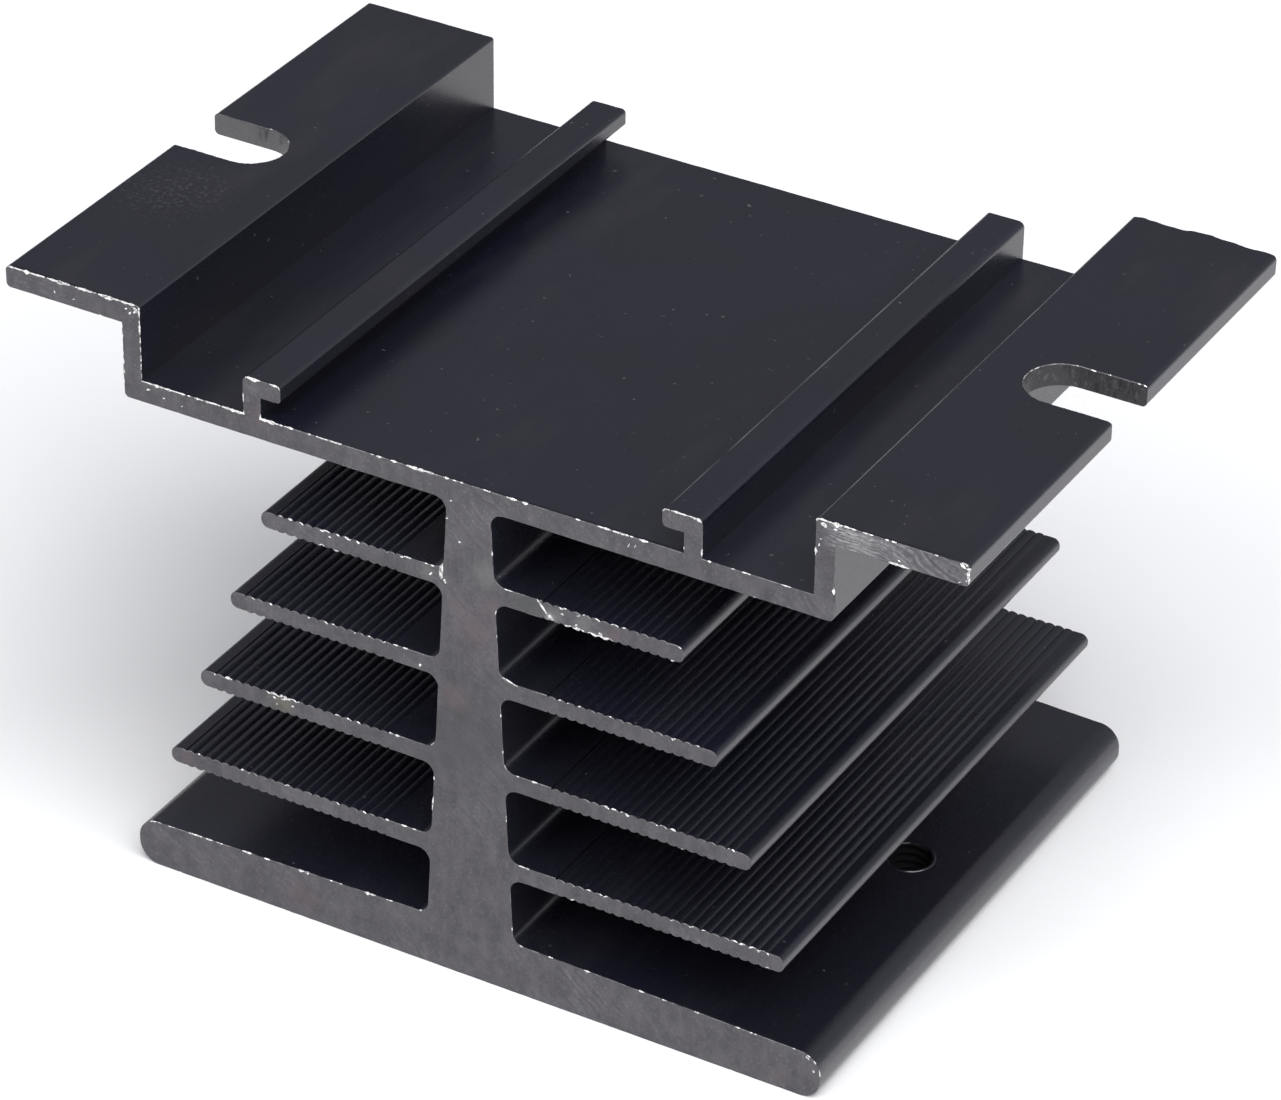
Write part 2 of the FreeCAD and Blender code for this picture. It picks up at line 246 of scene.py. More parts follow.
sawn, tree, shader, place = new_material("sawn_aluminium", roughness=0.5, metallic=0.15)
stray = add_node(tree, "ShaderNodeTexNoise", {"Vector": place, "Scale": 300.0, "Detail": 3.0})
arcs = []
for centre, fineness in ((BLADE_CENTRE, BLADE_FINENESS), (WING_CENTRE, WING_FINENESS)):
    reach = add_node(tree, "ShaderNodeVectorMath", {0: place, 1: centre}, operation="DISTANCE")
    bent = combine(tree, "MULTIPLY_ADD", stray.outputs["Fac"], ARC_STRAY, reach.outputs["Value"])
    arc_place = add_node(tree, "ShaderNodeCombineXYZ", {"X": bent})
    arcs.append(grain(tree, arc_place.outputs[0], fineness, low=0.42, high=0.60))
axes = add_node(tree, "ShaderNodeSeparateXYZ", {"Vector": place}).outputs
in_wing = ramp(tree, axes["X"], WING_MARKS_FROM, WING_MARKS_TO)
high_up = combine(tree, "GREATER_THAN", axes["Z"], WING_MARKS_ABOVE)
outwards = ramp(tree, axes["X"], WING_MARKS_TO, WING_MARKS_FADED, 1.0, WING_MARKS_LEFT)
in_wing = combine(tree, "MULTIPLY", in_wing, high_up)
in_wing = combine(tree, "MULTIPLY", in_wing, outwards)
patches = grain(tree, place, fineness=210.0, low=0.46, high=0.66)
patches = combine(tree, "MULTIPLY", patches, PATCH_SHARE)
scored_patches = combine(tree, "MULTIPLY", arcs[0], patches)
scored_wing = combine(tree, "MULTIPLY", arcs[1], in_wing)
scored = combine(tree, "MAXIMUM", scored_patches, scored_wing)
clouds = grain(tree, place, fineness=420.0, low=0.36, high=0.64)
mottle = grain(tree, place, fineness=1300.0, low=0.36, high=0.64)
smears = grain(tree, place, fineness=1000.0, low=0.46, high=0.64, draw=(1.0, 1.0, 0.35),
               turn=(0.0, 42.0, 0.0))
flecks = grain(tree, place, fineness=4200.0, low=0.56, high=0.74)
colour = lay_over(tree, mottle, SAWN_DARK, SAWN)
colour = lay_over(tree, clouds, colour, SAWN_CLOUD, share=0.35)
colour = lay_over(tree, smears, colour, SAWN_SMEAR, share=0.5)
colour = lay_over(tree, flecks, colour, SAWN_LIGHT, share=0.75)
for stain_across, stain_up, radius, tint in STAINS:
    centre = (stain_across * MM, -END, stain_up * MM)
    colour = lay_over(tree, blotted(tree, place, centre, radius * MM), colour, tint, STAIN_SHARE)
breaks = grain(tree, place, fineness=3300.0, low=0.26, high=0.60)
colour = lay_over(tree, combine(tree, "MULTIPLY", scored, breaks), colour, SCORED, share=0.9)
tree.links.new(colour, shader.inputs["Base Color"])
raise_by(tree, shader, (mottle, MOTTLE_DEPTH), (scored, SCORE_DEPTH))

# Bare metal, newly torn: what the blade and the punch push up along the edges, and the chips that stick
# to the sawn faces. It is brighter than they are, and the cut edge between the burrs is duller.
TORN_DULL = (0.22, 0.22, 0.22)
TORN_BRIGHT = (0.86, 0.85, 0.84)
TORN_DEPTH = 0.02 * MM
CUT_DULL = (0.075, 0.073, 0.078)
CUT_BRIGHT = (0.240, 0.235, 0.240)
CUT_DEPTH = 0.01 * MM

torn_metal, tree, shader, place = new_material("torn_aluminium", roughness=0.4, metallic=0.6)
torn = grain(tree, place, fineness=4700.0, low=0.34, high=0.52)
tree.links.new(lay_over(tree, torn, TORN_DULL, TORN_BRIGHT), shader.inputs["Base Color"])
raise_by(tree, shader, (torn, TORN_DEPTH))

cut_edge, tree, shader, place = new_material("cut_edge", roughness=0.35, metallic=0.5)
worn = grain(tree, place, fineness=1100.0, low=0.38, high=0.68)
fine = grain(tree, place, fineness=6000.0, low=0.35, high=0.65)
colour = lay_over(tree, worn, CUT_DULL, CUT_BRIGHT)
colour = lay_over(tree, fine, colour, SAWN_DARK, share=0.5)
tree.links.new(colour, shader.inputs["Base Color"])
raise_by(tree, shader, (fine, CUT_DEPTH))

# Punched slots. The punch shears the wing and scuffs the wall with slanting scrapes. The right slot's
# wall is dark and speckled, and the left one's is smooth and paler, with dark marks at its round end.
PUNCHED = (0.026, 0.024, 0.027)
PUNCHED_DARK = (0.011, 0.010, 0.012)
PUNCHED_LIGHT = (0.105, 0.098, 0.103)
PUNCHED_SMOOTH = (0.085, 0.083, 0.086)
ROUND_END = (-34.2 * MM, 2.6 * MM, 49.0 * MM)
ROUND_END_REACH = 4.0 * MM
SCRAPE_DEPTH = 0.03 * MM
SHINE_DEPTH = 0.01 * MM

punched, tree, shader, place = new_material("punched_aluminium", roughness=0.45, metallic=0.15)
across = add_node(tree, "ShaderNodeSeparateXYZ", {"Vector": place}).outputs["X"]
on_left = combine(tree, "LESS_THAN", across, 0.0)
scrapes = grain(tree, place, fineness=1100.0, low=0.50, high=0.66, draw=(1.0, 1.0, 0.45),
                turn=(0.0, 32.0, 25.0))
shine = grain(tree, place, fineness=2300.0, low=0.55, high=0.75, draw=(1.0, 1.0, 0.6),
              turn=(0.0, 30.0, 20.0))
left_marks = combine(tree, "MULTIPLY", scrapes, blotted(tree, place, ROUND_END, ROUND_END_REACH))
right_marks = combine(tree, "SUBTRACT", scrapes, on_left, use_clamp=True)
marks = combine(tree, "MAXIMUM", left_marks, right_marks)
colour = lay_over(tree, on_left, PUNCHED, PUNCHED_SMOOTH)
colour = lay_over(tree, marks, colour, PUNCHED_DARK, share=0.85)
colour = lay_over(tree, shine, colour, PUNCHED_LIGHT, share=0.7)
tree.links.new(colour, shader.inputs["Base Color"])
raise_by(tree, shader, (marks, SCRAPE_DEPTH), (shine, SHINE_DEPTH))

# Tapped holes. Two M4 threads are cut through the foot for the relay's screws, and the dye has dried
# dull in them. The tap's form is cut from the foot by a boolean.
HOLE_ACROSS = 23.8 * MM
HOLE_ALONG = 0.7 * MM
CORE_RADIUS = 1.58 * MM
MAJOR_RADIUS = 2.0 * MM
PITCH = 0.7 * MM
TURN_STEPS = 36
SPARE_HALF_TURNS = 6
FOOT_TOP = 4.124 * MM
TAP_FROM = -0.4 * MM
TAP_TO = 4.9 * MM
TAP_WELD = 0.002 * MM
PLANE_SLACK = 0.0001 * MM
DRIED_DYE = (0.0085, 0.0085, 0.0095)
DRIED_DEPTH = 0.01 * MM

dull_black, tree, shader, place = new_material("dull_black_thread", roughness=0.8, ior=1.3)
shader.inputs["Specular IOR Level"].default_value = 0.0
dried = grain(tree, place, fineness=2400.0, low=0.55, high=0.70)
tree.links.new(lay_over(tree, dried, DRIED_DYE, RUBBED), shader.inputs["Base Color"])
raise_by(tree, shader, (dried, DRIED_DEPTH))

tap_form = bpy.data.objects.new("tap_form", bpy.data.meshes.new("tap_form"))
bpy.context.scene.collection.objects.link(tap_form)
bm = bmesh.new()
for hole_across in (-HOLE_ACROSS, HOLE_ACROSS):
    column = []
    for half_turn in range(int((TAP_TO - TAP_FROM) / (PITCH / 2)) + SPARE_HALF_TURNS):
        radius = MAJOR_RADIUS if half_turn % 2 else CORE_RADIUS
        height = TAP_FROM - PITCH + half_turn * PITCH / 2
        column.append(bm.verts.new((hole_across + radius, HOLE_ALONG, height)))
    line = [bm.edges.new(pair) for pair in zip(column, column[1:])]
    bmesh.ops.spin(bm, geom=column + line, cent=(hole_across, HOLE_ALONG, 0), axis=(0, 0, 1), angle=math.tau,
                   steps=TURN_STEPS, dvec=(0, 0, PITCH / TURN_STEPS))
bmesh.ops.remove_doubles(bm, verts=bm.verts, dist=TAP_WELD)
for height, way in ((TAP_FROM, -1), (TAP_TO, 1)):
    cut = bmesh.ops.bisect_plane(bm, geom=bm.verts[:] + bm.edges[:] + bm.faces[:], dist=PLANE_SLACK,
                                 plane_co=(0, 0, height), plane_no=(0, 0, way), clear_outer=True)
    rim = [part for part in cut["geom_cut"] if isinstance(part, bmesh.types.BMEdge)]
    bmesh.ops.edgeloop_fill(bm, edges=rim)
bmesh.ops.recalc_face_normals(bm, faces=bm.faces)
bm.to_mesh(tap_form.data)
bm.free()

# Extrusion. Foot, stem, fins, plate, hooks and wings are one drawn length of aluminium, sawn off at
# both ends. The wings' slots are punched and the foot's holes tapped after that.
FRONT, BACK = -1, 1
FLAT_ANGLE = math.radians(0.4)
SHARP_ANGLE = math.radians(32.0)
CAD_WELD = 0.001 * MM
PLATE_TOP = 43.7 * MM
WING_LOW = 48.2 * MM
WING_TOP = 50.0 * MM
NEAR_TOP = 0.1 * MM
# Which faces of the drawn corners get the painted highlight: how high they lie, and how far their
# normals point inwards and upwards.
HIGHLIGHT_ABOVE = 46.0 * MM
HIGHLIGHT_INWARDS = -0.15
HIGHLIGHT_UPWARDS = (0.5, 0.985)
# The rim of a sawn end: the band next to it, the steps along its edges, and the cut edge's width and
# drop, each partly even and partly rough. A fineness is in lumps to the metre.
CUT_BAND = 0.35 * MM
AT_END = 0.01 * MM
EDGE_STEP = {FRONT: 0.12 * MM, BACK: 0.25 * MM}
EDGE_WIDTH = 0.05 * MM
EDGE_EVEN = 0.9
EDGE_ROUGH = 0.5
EDGE_FINENESS = 1700
EDGE_DROP = 0.04 * MM
DROP_ROUGH = 0.8
DROP_FINENESS = 900
# Small tears come where a noise passes a limit, which is lower on the plate and left of the right hook.
TEAR_FINENESS = 2900
TEAR_LIMIT = 0.57
TEAR_LIMIT_PLATE = 0.42
TEAR_LIMIT_PLATE_TO = 19.0 * MM
TEAR_UPPER = 0.18
TEAR_WIDTH = 7.0
# A burr spreads inwards, partly even and partly rough, and bulges outwards. It is broken along its run,
# and narrower at its ends.
BURR_REACH = 0.13 * MM
BURR_EVEN = 0.8
BURR_ROUGH = 0.6
BURR_BULGE = 0.45
BURR_MIDDLING = 0.75
BURR_SWING = 1.5
BURR_LEAST = 0.25
BURR_MOST = 1.3
BURR_TAPER = 0.6
BURR_FINENESS = 3300
# Where the front edge has torn to bright metal: from and to, across and up in millimetres, and how many
# times wider than elsewhere the torn edge is.
FRONT_BURRS = (
    (-39.7, 50.0, -38.45, 50.0, 2.0), (-37.8, 50.0, -36.7, 50.0, 1.6), (-36.1, 50.0, -34.35, 50.0, 2.6),
    (-33.5, 50.0, -32.4, 50.0, 2.8), (-31.5, 50.0, -30.45, 50.0, 3.2), (-30.2, 50.0, -29.9, 50.0, 1.6),
    (-29.6, 50.0, -29.2, 50.0, 1.6), (-28.9, 50.0, -28.15, 49.75, 3.6), (-28.1, 49.7, -28.1, 49.2, 1.0),
    (-27.95, 43.7, -25.8, 43.7, 2.2), (-25.4, 43.7, -24.5, 43.7, 1.0), (-23.3, 43.7, -23.1, 43.7, 1.6),
    (-22.5, 43.7, -21.4, 43.7, 1.8), (-20.9, 43.7, -19.2, 43.7, 2.6), (-17.7, 43.7, -16.0, 43.7, 3.4),
    (-15.5, 43.7, -15.0, 43.7, 2.4), (-12.5, 43.7, -11.3, 43.7, 1.2), (-5.0, 43.7, -3.0, 43.7, 2.8),
    (10.9, 43.7, 11.6, 43.7, 2.0), (12.1, 43.7, 12.9, 43.7, 2.0), (14.3, 43.7, 14.6, 43.7, 1.4),
    (22.6, 43.7, 22.9, 43.7, 1.2), (25.9, 43.7, 26.1, 43.7, 1.0),
    (-18.85, 46.9, -17.8, 46.9, 2.6), (-16.7, 46.9, -16.0, 46.8, 1.2), (-19.2, 45.3, -19.2, 45.1, 2.4),
    (16.0, 46.8, 16.4, 46.9, 2.2), (16.8, 46.9, 17.3, 46.9, 2.0), (17.6, 46.9, 17.8, 46.9, 1.6),
    (18.2, 46.9, 18.5, 46.9, 2.6), (18.8, 46.9, 19.1, 46.8, 2.6), (19.2, 44.3, 19.2, 44.1, 1.2),
    (28.15, 49.9, 29.1, 50.0, 4.0), (29.5, 50.0, 29.9, 50.0, 3.6), (30.3, 50.0, 30.6, 50.0, 2.2),
    (30.9, 50.0, 31.0, 50.0, 1.8), (31.9, 50.0, 32.3, 50.0, 1.0), (39.6, 50.0, 40.0, 49.5, 4.4),
    (40.0, 49.3, 40.0, 48.6, 2.0), (28.1, 47.4, 28.1, 47.1, 3.6), (29.7, 44.6, 29.7, 44.4, 3.0),
    (33.9, 48.2, 35.2, 48.2, 2.6),
    (-12.6, 35.85, -12.0, 35.85, 2.2), (-10.4, 35.85, -10.2, 35.85, 1.8), (-12.7, 34.35, -12.5, 34.35, 1.6),
    (-11.6, 34.35, -11.3, 34.35, 2.0), (8.2, 34.35, 9.5, 34.35, 3.2), (10.1, 34.35, 11.9, 34.35, 3.0),
    (7.8, 35.85, 8.0, 35.85, 1.4), (12.0, 35.85, 12.4, 35.85, 2.0),
    (-17.6, 19.85, -16.9, 19.85, 2.0), (-16.7, 19.85, -15.7, 19.85, 3.0), (-15.4, 19.85, -15.1, 19.85, 1.6),
    (22.3, 11.85, 22.6, 11.85, 1.8), (23.0, 11.85, 23.3, 11.85, 1.8), (23.8, 11.85, 24.0, 11.85, 1.8),
    (25.3, 10.35, 25.5, 10.35, 2.0), (8.8, 10.35, 9.0, 10.35, 2.2),
    (-28.9, 4.0, -28.6, 4.0, 2.0), (-27.1, 4.05, -26.9, 4.05, 1.6), (-25.2, 4.1, -25.0, 4.1, 1.6),
    (-24.7, 4.1, -24.5, 4.1, 1.4), (-23.6, 4.13, -23.4, 4.13, 1.6), (-22.7, 4.15, -22.5, 4.15, 1.4),
    (-18.3, 4.24, -18.1, 4.24, 1.6), (28.6, 3.85, 29.4, 3.3, 2.4), (29.9, 2.7, 29.95, 2.5, 1.6),
)
# The saw's small even teeth marks up both sides of the left wall, written as the burrs are.
TOOTH_LOW = 44.1
TOOTH_HIGH = 44.15
TOOTH_PITCH = 0.75
TOOTH_COUNT = 7
TOOTH_COLUMNS = ((-28.1, 0.9), (-29.75, 1.4))
TOOTH_MARKS = tuple((across, TOOTH_LOW + TOOTH_PITCH * tooth, across, TOOTH_HIGH + TOOTH_PITCH * tooth, width)
                    for across, width in TOOTH_COLUMNS for tooth in range(TOOTH_COUNT))
# How far the blade wandered out along the right wing's far edge: across, then out, in millimetres.
SAW_WANDER = ((28.1, 0.0), (28.9, 0.24), (30.6, 0.12), (32.1, 0.0), (33.0, 0.34), (34.5, 0.45), (35.5, 0.24),
              (36.6, 0.30), (37.7, 0.02), (39.2, 0.22), (39.6, 0.10), (40.0, 0.04))
WANDER_SHARE = 0.85
WANDER_RAGGED = 0.07 * MM
WANDER_FINENESS = 1900
WANDER_INNER = 0.6
# The slots: where their walls are and how upright, and their upper rims, which are ragged and sunk.
SLOT_FROM = 31.5 * MM
SLOT_HALF = 3.1 * MM
UPRIGHT = 0.2
SLOT_STEP = 0.2 * MM
SLOT_RIM = 0.05 * MM
RIM_RAGGED = 0.05 * MM
RIM_RAGGED_FINENESS = 2200
RIM_SUNK = 0.04 * MM
RIM_SUNK_FINENESS = 2700
RIM_TORN_LIMIT = 0.38
RIM_TORN_FINENESS = 1300
RIM_TORN_FINER = 3500
THREAD_SLANT = 0.9
FINISHES = (black_skin, sawn, torn_metal, punched, dull_black, painted_corner_highlight, cut_edge)
SKIN, SAWN_FACE, TORN, SLOT_WALL, THREAD, PAINTED_HIGHLIGHT_LINE, CUT_LINE = range(len(FINISHES))

heat_sink = bpy.data.objects.new("heat_sink_extrusion", bpy.data.meshes.new("heat_sink_extrusion"))
bpy.context.scene.collection.objects.link(heat_sink)
bm = bmesh.new()
bm.from_mesh(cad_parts["heat_sink"].data)
bmesh.ops.remove_doubles(bm, verts=bm.verts, dist=CAD_WELD)
bmesh.ops.dissolve_limit(bm, angle_limit=FLAT_ANGLE, verts=bm.verts, edges=bm.edges)
bm.to_mesh(heat_sink.data)
bm.free()
tapping = heat_sink.modifiers.new("tapping", "BOOLEAN")
tapping.object = tap_form
tapping.operation = "DIFFERENCE"
tapping.solver = "EXACT"
tapped = bpy.data.meshes.new_from_object(heat_sink.evaluated_get(bpy.context.evaluated_depsgraph_get()))
heat_sink.modifiers.clear()
bpy.data.objects.remove(tap_form)

bm = bmesh.new()
bm.from_mesh(tapped)
least_up, most_up = HIGHLIGHT_UPWARDS
# High faces on the right that point up and inwards take the painted highlight's material.
for face in bm.faces:
    middle = face.calc_center_median()
    on_corner = face.normal.x < HIGHLIGHT_INWARDS and least_up < face.normal.z < most_up
    if on_corner and middle.x > 0 and middle.z > HIGHLIGHT_ABOVE:
        face.material_index = PAINTED_HIGHLIGHT_LINE
for side in (FRONT, BACK):
    bmesh.ops.bisect_plane(bm, geom=bm.verts[:] + bm.edges[:] + bm.faces[:], dist=PLANE_SLACK,
                           plane_co=(0, side * (END - CUT_BAND), 0), plane_no=(0, 1, 0))


def at_end(vert, side):
    return abs(vert.co.y - side * END) < AT_END


def divide_edges(edges, step):
    """Cuts each edge into pieces of about one step."""
    long_edges = {}
    for edge in edges:
        cuts = int(edge.calc_length() / step)
        if cuts:
            long_edges.setdefault(cuts, []).append(edge)
    for cuts, alike in sorted(long_edges.items()):
        bmesh.ops.bisect_edges(bm, edges=alike, cuts=cuts)


def burr_at(edge_place, inward):
    """How many times wider the torn edge is at a place on the front, or 0 where it isn't torn."""
    place = Vector((edge_place.x, edge_place.z))
    upper = -inward.normalized().z
    on_plate = edge_place.z > PLATE_TOP - NEAR_TOP and edge_place.x < TEAR_LIMIT_PLATE_TO
    limit = TEAR_LIMIT_PLATE if on_plate else TEAR_LIMIT
    widest = max(noise.noise(edge_place * TEAR_FINENESS) - limit + TEAR_UPPER * upper, 0.0) * TEAR_WIDTH
    swing = BURR_SWING * noise.noise(edge_place * BURR_FINENESS)
    broken = min(max(BURR_MIDDLING + swing, BURR_LEAST), BURR_MOST)
    for x0, z0, x1, z1, width in FRONT_BURRS + TOOTH_MARKS:
        start = Vector((x0, z0)) * MM
        run = Vector((x1, z1)) * MM - start
        share = min(max((place - start).dot(run) / run.length_squared, 0.0), 1.0)
        if (place - start - run * share).length < BURR_REACH:
            tapered = 1.0 - BURR_TAPER * abs(2.0 * share - 1.0) ** 3
            widest = max(widest, width * broken * tapered)
    return widest


def wander_at(across):
    """How far out the blade cut the right wing's far edge, in metres."""
    for (x0, out0), (x1, out1) in zip(SAW_WANDER, SAW_WANDER[1:]):
        if x0 * MM <= across <= x1 * MM:
            return (out0 + (out1 - out0) * (across / MM - x0) / (x1 - x0)) * MM
    return 0.0


for side in (FRONT, BACK):
    end_edges = [edge for edge in bm.edges if all(at_end(vert, side) for vert in edge.verts)]
    divide_edges(end_edges, EDGE_STEP[side])
    end_face = max((face for face in bm.faces if all(at_end(vert, side) for vert in face.verts)),
                   key=lambda face: face.calc_area())
    ring = set(bmesh.ops.inset_region(bm, faces=[end_face], thickness=EDGE_WIDTH, use_boundary=True,
                                      use_even_offset=True)["faces"])
    for face in ring:
        face.material_index = CUT_LINE
    end_face.material_index = SAWN_FACE
    inner = set(end_face.verts)
    for vert in end_face.verts:
        outer = next(other for other in (edge.other_vert(vert) for edge in vert.link_edges)
                     if other not in inner)
        rough = noise.noise(outer.co * EDGE_FINENESS)
        inward = vert.co - outer.co
        burr = burr_at(outer.co, inward) if side == FRONT else 0.0
        spread = burr * (BURR_EVEN + BURR_ROUGH * rough)
        vert.co = outer.co + inward * (EDGE_EVEN + EDGE_ROUGH * rough + spread)
        outer.co.y -= side * EDGE_DROP * (1.0 + DROP_ROUGH * noise.noise(outer.co * DROP_FINENESS))
        outer.co -= inward * burr * BURR_BULGE
        outer.co.z = max(outer.co.z, 0.0)
        if burr:
            for face in ring.intersection(outer.link_faces):
                face.material_index = TORN
        if side == BACK and outer.co.z > WING_LOW and outer.co.x > 0:
            height_share = (outer.co.z - WING_LOW) / (WING_TOP - WING_LOW)
            ragged = WANDER_RAGGED * noise.noise(outer.co * WANDER_FINENESS)
            out = WANDER_SHARE * wander_at(outer.co.x) + ragged
            outer.co.y += out * height_share
            vert.co.y += out * height_share * WANDER_INNER

for face in bm.faces:
    face.smooth = True
    middle = face.calc_center_median()
    in_slot = (abs(middle.x) > SLOT_FROM and abs(middle.y) < SLOT_HALF and middle.z > WING_LOW
               and abs(face.normal.z) < UPRIGHT)
    off_axis = math.hypot(abs(middle.x) - HOLE_ACROSS, middle.y - HOLE_ALONG)
    if in_slot:
        face.material_index = SLOT_WALL
    elif off_axis < MAJOR_RADIUS and middle.z < FOOT_TOP + PITCH and abs(face.normal.z) < THREAD_SLANT:
        face.material_index = THREAD


def slot_rims():
    """The upper edges between the slots' walls and the wings."""
    return [edge for edge in bm.edges
            if {face.material_index for face in edge.link_faces} == {SKIN, SLOT_WALL}
            and all(vert.co.z > WING_TOP - NEAR_TOP for vert in edge.verts)]


divide_edges(slot_rims(), SLOT_STEP)
rim_faces = bmesh.ops.bevel(bm, geom=slot_rims(), offset=SLOT_RIM, offset_type="OFFSET", segments=1,
                            profile=0.5, affect="EDGES", material=-1)["faces"]
for vert in {vert for face in rim_faces for vert in face.verts}:
    vert.co.y += RIM_RAGGED * noise.noise(vert.co * RIM_RAGGED_FINENESS)
    vert.co.z -= RIM_SUNK * abs(noise.noise(vert.co * RIM_SUNK_FINENESS))
for face in rim_faces:
    middle = face.calc_center_median()
    torn_here = noise.noise(middle * RIM_TORN_FINENESS) + 0.5 * noise.noise(middle * RIM_TORN_FINER)
    face.material_index = TORN if torn_here > RIM_TORN_LIMIT else SAWN_FACE
    face.smooth = True
for edge in bm.edges:
    edge.smooth = len(edge.link_faces) == 2 and edge.calc_face_angle(0.0) < SHARP_ANGLE
bm.to_mesh(heat_sink.data)
bm.free()
for material in FINISHES:
    heat_sink.data.materials.append(material)
weighted = heat_sink.modifiers.new("weighted_normals", "WEIGHTED_NORMAL")
weighted.keep_sharp = True
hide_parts("heat_sink")
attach(heat_sink, "root")

# Tap burrs. The tap raised a low uneven lip of metal round each hole's upper mouth before the skin was
# made, so it is black as well, and nobody has filed it off.
LIP_HEIGHT = 0.13 * MM
# The lip's section, from the hole outwards: each corner's radius, and its height above the foot.
LIP_SECTION = ((1.64 * MM, -0.15 * MM), (1.93 * MM, LIP_HEIGHT), (2.16 * MM, -0.05 * MM))
LIP_STEPS = 60
LIP_UNEVEN = 1.1
LIP_UNEVEN_FINENESS = 900
LIP_STRAY = 0.08
LIP_STRAY_FINENESS = (1100, 1300)
# The foot is 4.6 mm thick in the middle and 4.0 mm at its edges, 30 mm out.
FOOT_SLOPE = (4.6 - 4.0) / 30.0

lips = bpy.data.objects.new("tap_burrs", bpy.data.meshes.new("tap_burrs"))
bpy.context.scene.collection.objects.link(lips)
bm = bmesh.new()
for hole_across in (-HOLE_ACROSS, HOLE_ACROSS):
    section = [bm.verts.new((hole_across + radius, HOLE_ALONG, FOOT_TOP + height))
               for radius, height in LIP_SECTION]
    outline = [bm.edges.new((section[point], section[(point + 1) % 3])) for point in range(3)]
    bmesh.ops.spin(bm, geom=section + outline, cent=(hole_across, HOLE_ALONG, 0), axis=(0, 0, 1),
                   angle=math.tau, steps=LIP_STEPS, use_merge=True)
bmesh.ops.recalc_face_normals(bm, faces=bm.faces)
for vert in bm.verts:
    if vert.co.z > FOOT_TOP:
        vert.co.z += LIP_HEIGHT * LIP_UNEVEN * noise.noise(vert.co * LIP_UNEVEN_FINENESS)
        stray = Vector([noise.noise(vert.co * fineness) for fineness in LIP_STRAY_FINENESS])
        vert.co.xy += stray * LIP_STRAY * MM
    vert.co.z -= FOOT_SLOPE * (abs(vert.co.x) - HOLE_ACROSS)
for face in bm.faces:
    face.smooth = True
bm.to_mesh(lips.data)
bm.free()
lips.data.materials.append(black_skin)
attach(lips, "root")

# Saw chips. Small flakes and streaks of torn metal stick to the sawn front and lie in its corners.
# Each: its place across and up, its length and its width, all in millimetres, and its slope in degrees.
CHIPS = (
    (-1.8, 40.3, 0.25, 0.12, 20), (-2.25, 35.6, 1.5, 0.20, 84), (-2.0, 34.85, 0.4, 0.18, -60),
    (-3.2, 35.1, 0.35, 0.18, 60), (-5.7, 35.7, 0.30, 0.15, 10), (3.5, 27.95, 1.5, 0.12, -18),
    (-4.2, 26.8, 0.35, 0.16, 70), (-3.2, 14.8, 1.4, 0.10, 86), (-1.4, 41.9, 0.18, 0.14, 0),
    (-0.75, 38.6, 0.18, 0.14, 30), (7.9, 35.3, 0.25, 0.16, 0), (17.0, 34.4, 0.30, 0.16, 20),
    (-16.3, 19.6, 0.60, 0.14, 16), (-17.1, 19.5, 0.30, 0.14, -10), (-15.5, 19.2, 0.26, 0.14, 20),
    (-16.9, 19.0, 0.20, 0.14, 60), (28.9, 3.6, 0.45, 0.18, -35), (29.4, 2.6, 0.25, 0.16, 80),
    (-27.5, 43.1, 0.40, 0.15, 30), (-26.2, 42.8, 0.20, 0.10, 0), (-24.6, 42.6, 0.25, 0.12, 50),
    (-35.6, 49.0, 0.20, 0.12, 30), (-33.9, 48.9, 0.18, 0.10, 0), (-28.9, 49.2, 0.35, 0.14, 60),
    (-29.3, 49.5, 0.25, 0.12, 20), (-28.5, 49.4, 0.30, 0.16, 45), (-28.45, 49.65, 0.60, 0.30, -35),
    (-2.4, 35.6, 1.1, 0.24, 82), (28.5, 48.4, 0.20, 0.10, 30), (28.4, 47.9, 0.25, 0.12, 80),
    (13.3, 42.9, 0.45, 0.08, 70), (13.8, 43.0, 0.35, 0.07, 75), (9.2, 35.6, 0.35, 0.16, 20),
    (6.25, 35.3, 1.7, 0.13, -49), (6.95, 34.65, 0.5, 0.30, -40), (-11.9, 35.4, 0.25, 0.12, 0),
    (34.6, 48.6, 0.30, 0.10, -30), (39.45, 49.75, 0.55, 0.24, -40), (39.85, 49.25, 0.40, 0.18, 80),
    (39.8, 48.7, 0.35, 0.16, 70), (39.3, 48.4, 0.25, 0.14, 10), (28.7, 49.6, 0.55, 0.22, -10),
    (29.6, 49.5, 0.40, 0.16, 15), (11.0, 34.7, 0.30, 0.18, -10), (9.0, 34.7, 0.25, 0.15, 30),
)
CHIP_DEPTH = 0.03 * MM
CHIP_UNEVEN = 0.6
CHIP_FINENESS = (4700, 5300)

chips = bpy.data.objects.new("saw_chips", bpy.data.meshes.new("saw_chips"))
bpy.context.scene.collection.objects.link(chips)
bm = bmesh.new()
for across, up, long, wide, slope in CHIPS:
    turn = Matrix.Rotation(-math.radians(slope), 4, "Y")
    shape = Matrix.Diagonal((long / 2 * MM, CHIP_DEPTH, wide / 2 * MM, 1.0))
    here = Matrix.Translation((across * MM, -END, up * MM))
    made = bmesh.ops.create_icosphere(bm, subdivisions=2, radius=1.0, matrix=here @ turn @ shape)
    for vert in made["verts"]:
        sideways, upwards = (noise.noise(vert.co * fineness) for fineness in CHIP_FINENESS)
        vert.co += Vector((sideways, 0.0, upwards)) * wide * CHIP_UNEVEN * MM
for face in bm.faces:
    face.smooth = True
bm.to_mesh(chips.data)
bm.free()
chips.data.materials.append(torn_metal)
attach(chips, "root")

# Studio. The object stands on its foot on a white table, between two large soft lights. The room round
# it is dim, and brightest low on the right, which gives the foot's round edge and the fins' beads their
# soft shine.
TABLE_COLOUR = (0.88, 0.88, 0.89, 1.0)
ROOM_TINT = (0.90, 0.92, 1.0, 1.0)
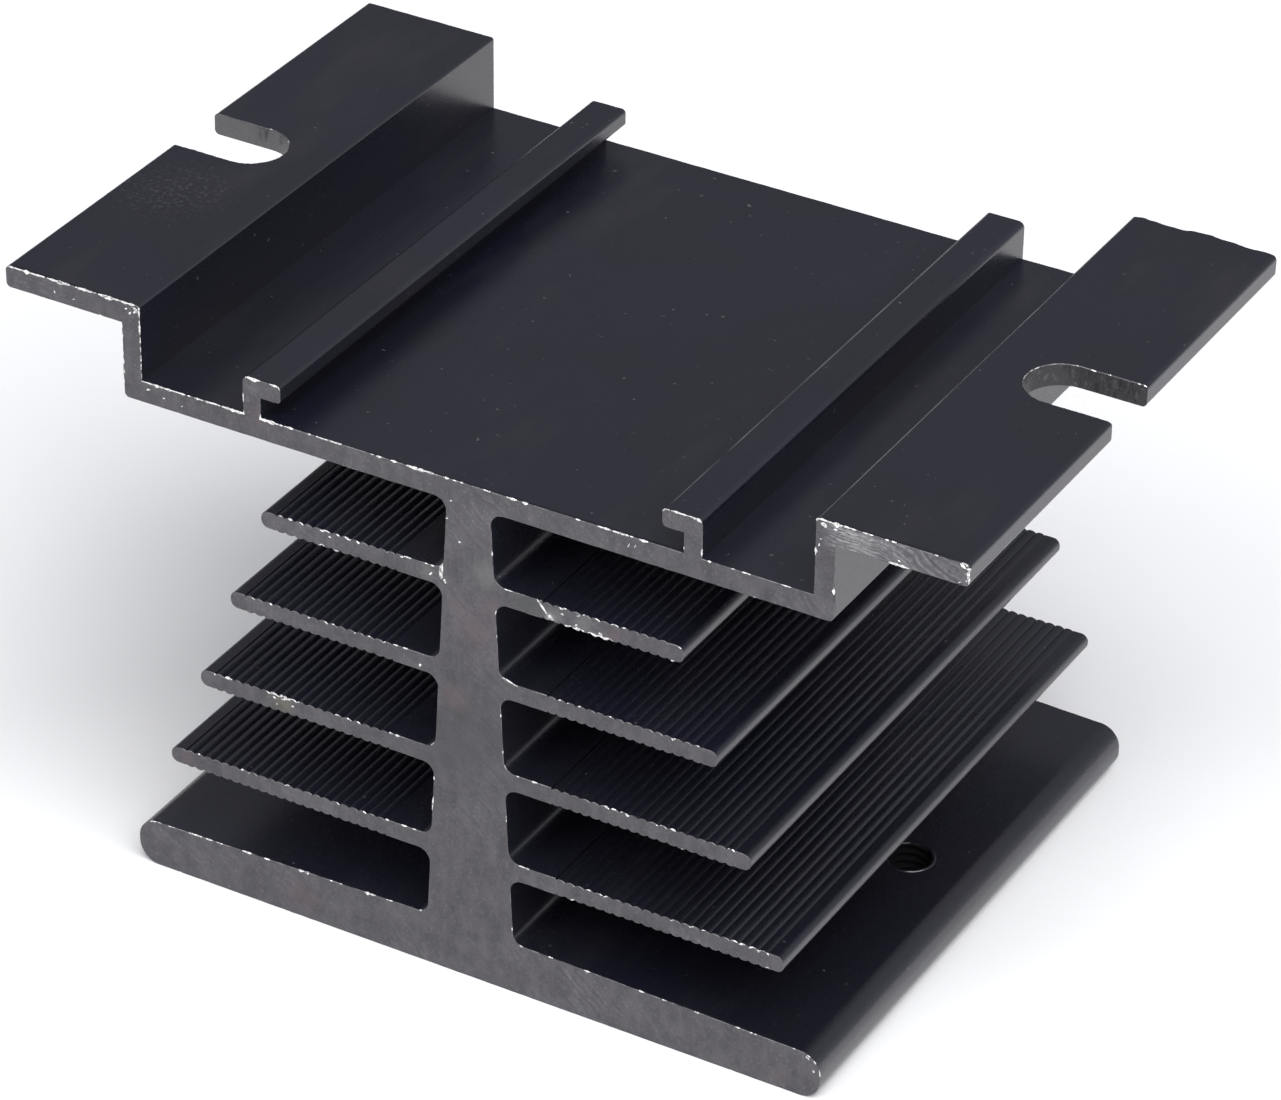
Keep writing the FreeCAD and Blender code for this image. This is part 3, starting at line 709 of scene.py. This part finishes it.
# The room's light at its left and at its right, overhead and low down, and between which ways of looking,
# across and up, it changes from one to the other.
OVERHEAD_LIGHT = (0.230, 0.34)
OVERHEAD_ACROSS = (-0.4, 0.3)
SKIRTING_LIGHT = (0.13, 0.50)
SKIRTING_ACROSS = (0.0, 0.6)
SKIRTING_UP = (0.22, 0.48)
AIM = Vector((0, 0, 0.02))

floor = bpy.data.objects.new("studio_table", bpy.data.meshes.new("studio_table"))
bpy.context.scene.collection.objects.link(floor)
bm = bmesh.new()
bmesh.ops.create_grid(bm, x_segments=1, y_segments=1, size=2.0)
bm.to_mesh(floor.data)
bm.free()
table_white, tree, shader, place = new_material("table_white", roughness=0.8)
shader.inputs["Base Color"].default_value = TABLE_COLOUR
shader.inputs["Specular IOR Level"].default_value = 0.2
floor.data.materials.append(table_white)

world = bpy.data.worlds.new("studio")
bpy.context.scene.world = world
world.use_nodes = True
tree = world.node_tree
tree.nodes.clear()
direction = add_node(tree, "ShaderNodeTexCoord")
ways = add_node(tree, "ShaderNodeSeparateXYZ", {"Vector": direction.outputs["Generated"]}).outputs
overhead = ramp(tree, ways["X"], *OVERHEAD_ACROSS, *OVERHEAD_LIGHT)
skirting = ramp(tree, ways["X"], *SKIRTING_ACROSS, *SKIRTING_LIGHT)
room = ramp(tree, ways["Z"], *SKIRTING_UP, skirting, overhead)
background = add_node(tree, "ShaderNodeBackground", {"Color": ROOM_TINT, "Strength": room})
add_node(tree, "ShaderNodeOutputWorld", {"Surface": background.outputs["Background"]})


def soft_light(name, place, width, power):
    """A square soft light at a place, turned to shine on the object."""
    lamp = bpy.data.lights.new(name, "AREA")
    lamp.size = width
    lamp.energy = power
    holder = bpy.data.objects.new(name, lamp)
    holder.location = place
    holder.rotation_euler = (AIM - Vector(place)).to_track_quat("-Z", "Y").to_euler()
    bpy.context.scene.collection.objects.link(holder)


soft_light("right_light", place=(0.5, -0.4, 1.0), width=1.1, power=18.5)
soft_light("front_light", place=(-0.45, -1.0, 0.75), width=0.8, power=7.1)

# Camera, where the photographer's stood: high, in front and to the right. A long lens keeps the
# extrusion's edges nearly parallel.
EYE = (0.182419, -0.322237, 0.259255)
ACROSS = Vector((0.86637584, 0.49923833, 0.01240920))
UPWARD = Vector((-0.27635332, 0.45858900, 0.84458568))

camera = bpy.data.objects.new("camera", bpy.data.cameras.new("camera"))
camera.data.sensor_fit = "HORIZONTAL"
camera.data.sensor_width = 36.0
camera.data.lens = 161.06
camera.data.clip_start = 0.01
camera.data.clip_end = 10.0
turn = Matrix((ACROSS, UPWARD, ACROSS.cross(UPWARD))).transposed().to_quaternion()
camera.matrix_world = Matrix.LocRotScale(Vector(EYE), turn, None)
bpy.context.scene.collection.objects.link(camera)
bpy.context.scene.camera = camera
bpy.context.scene.view_settings.view_transform = "Standard"
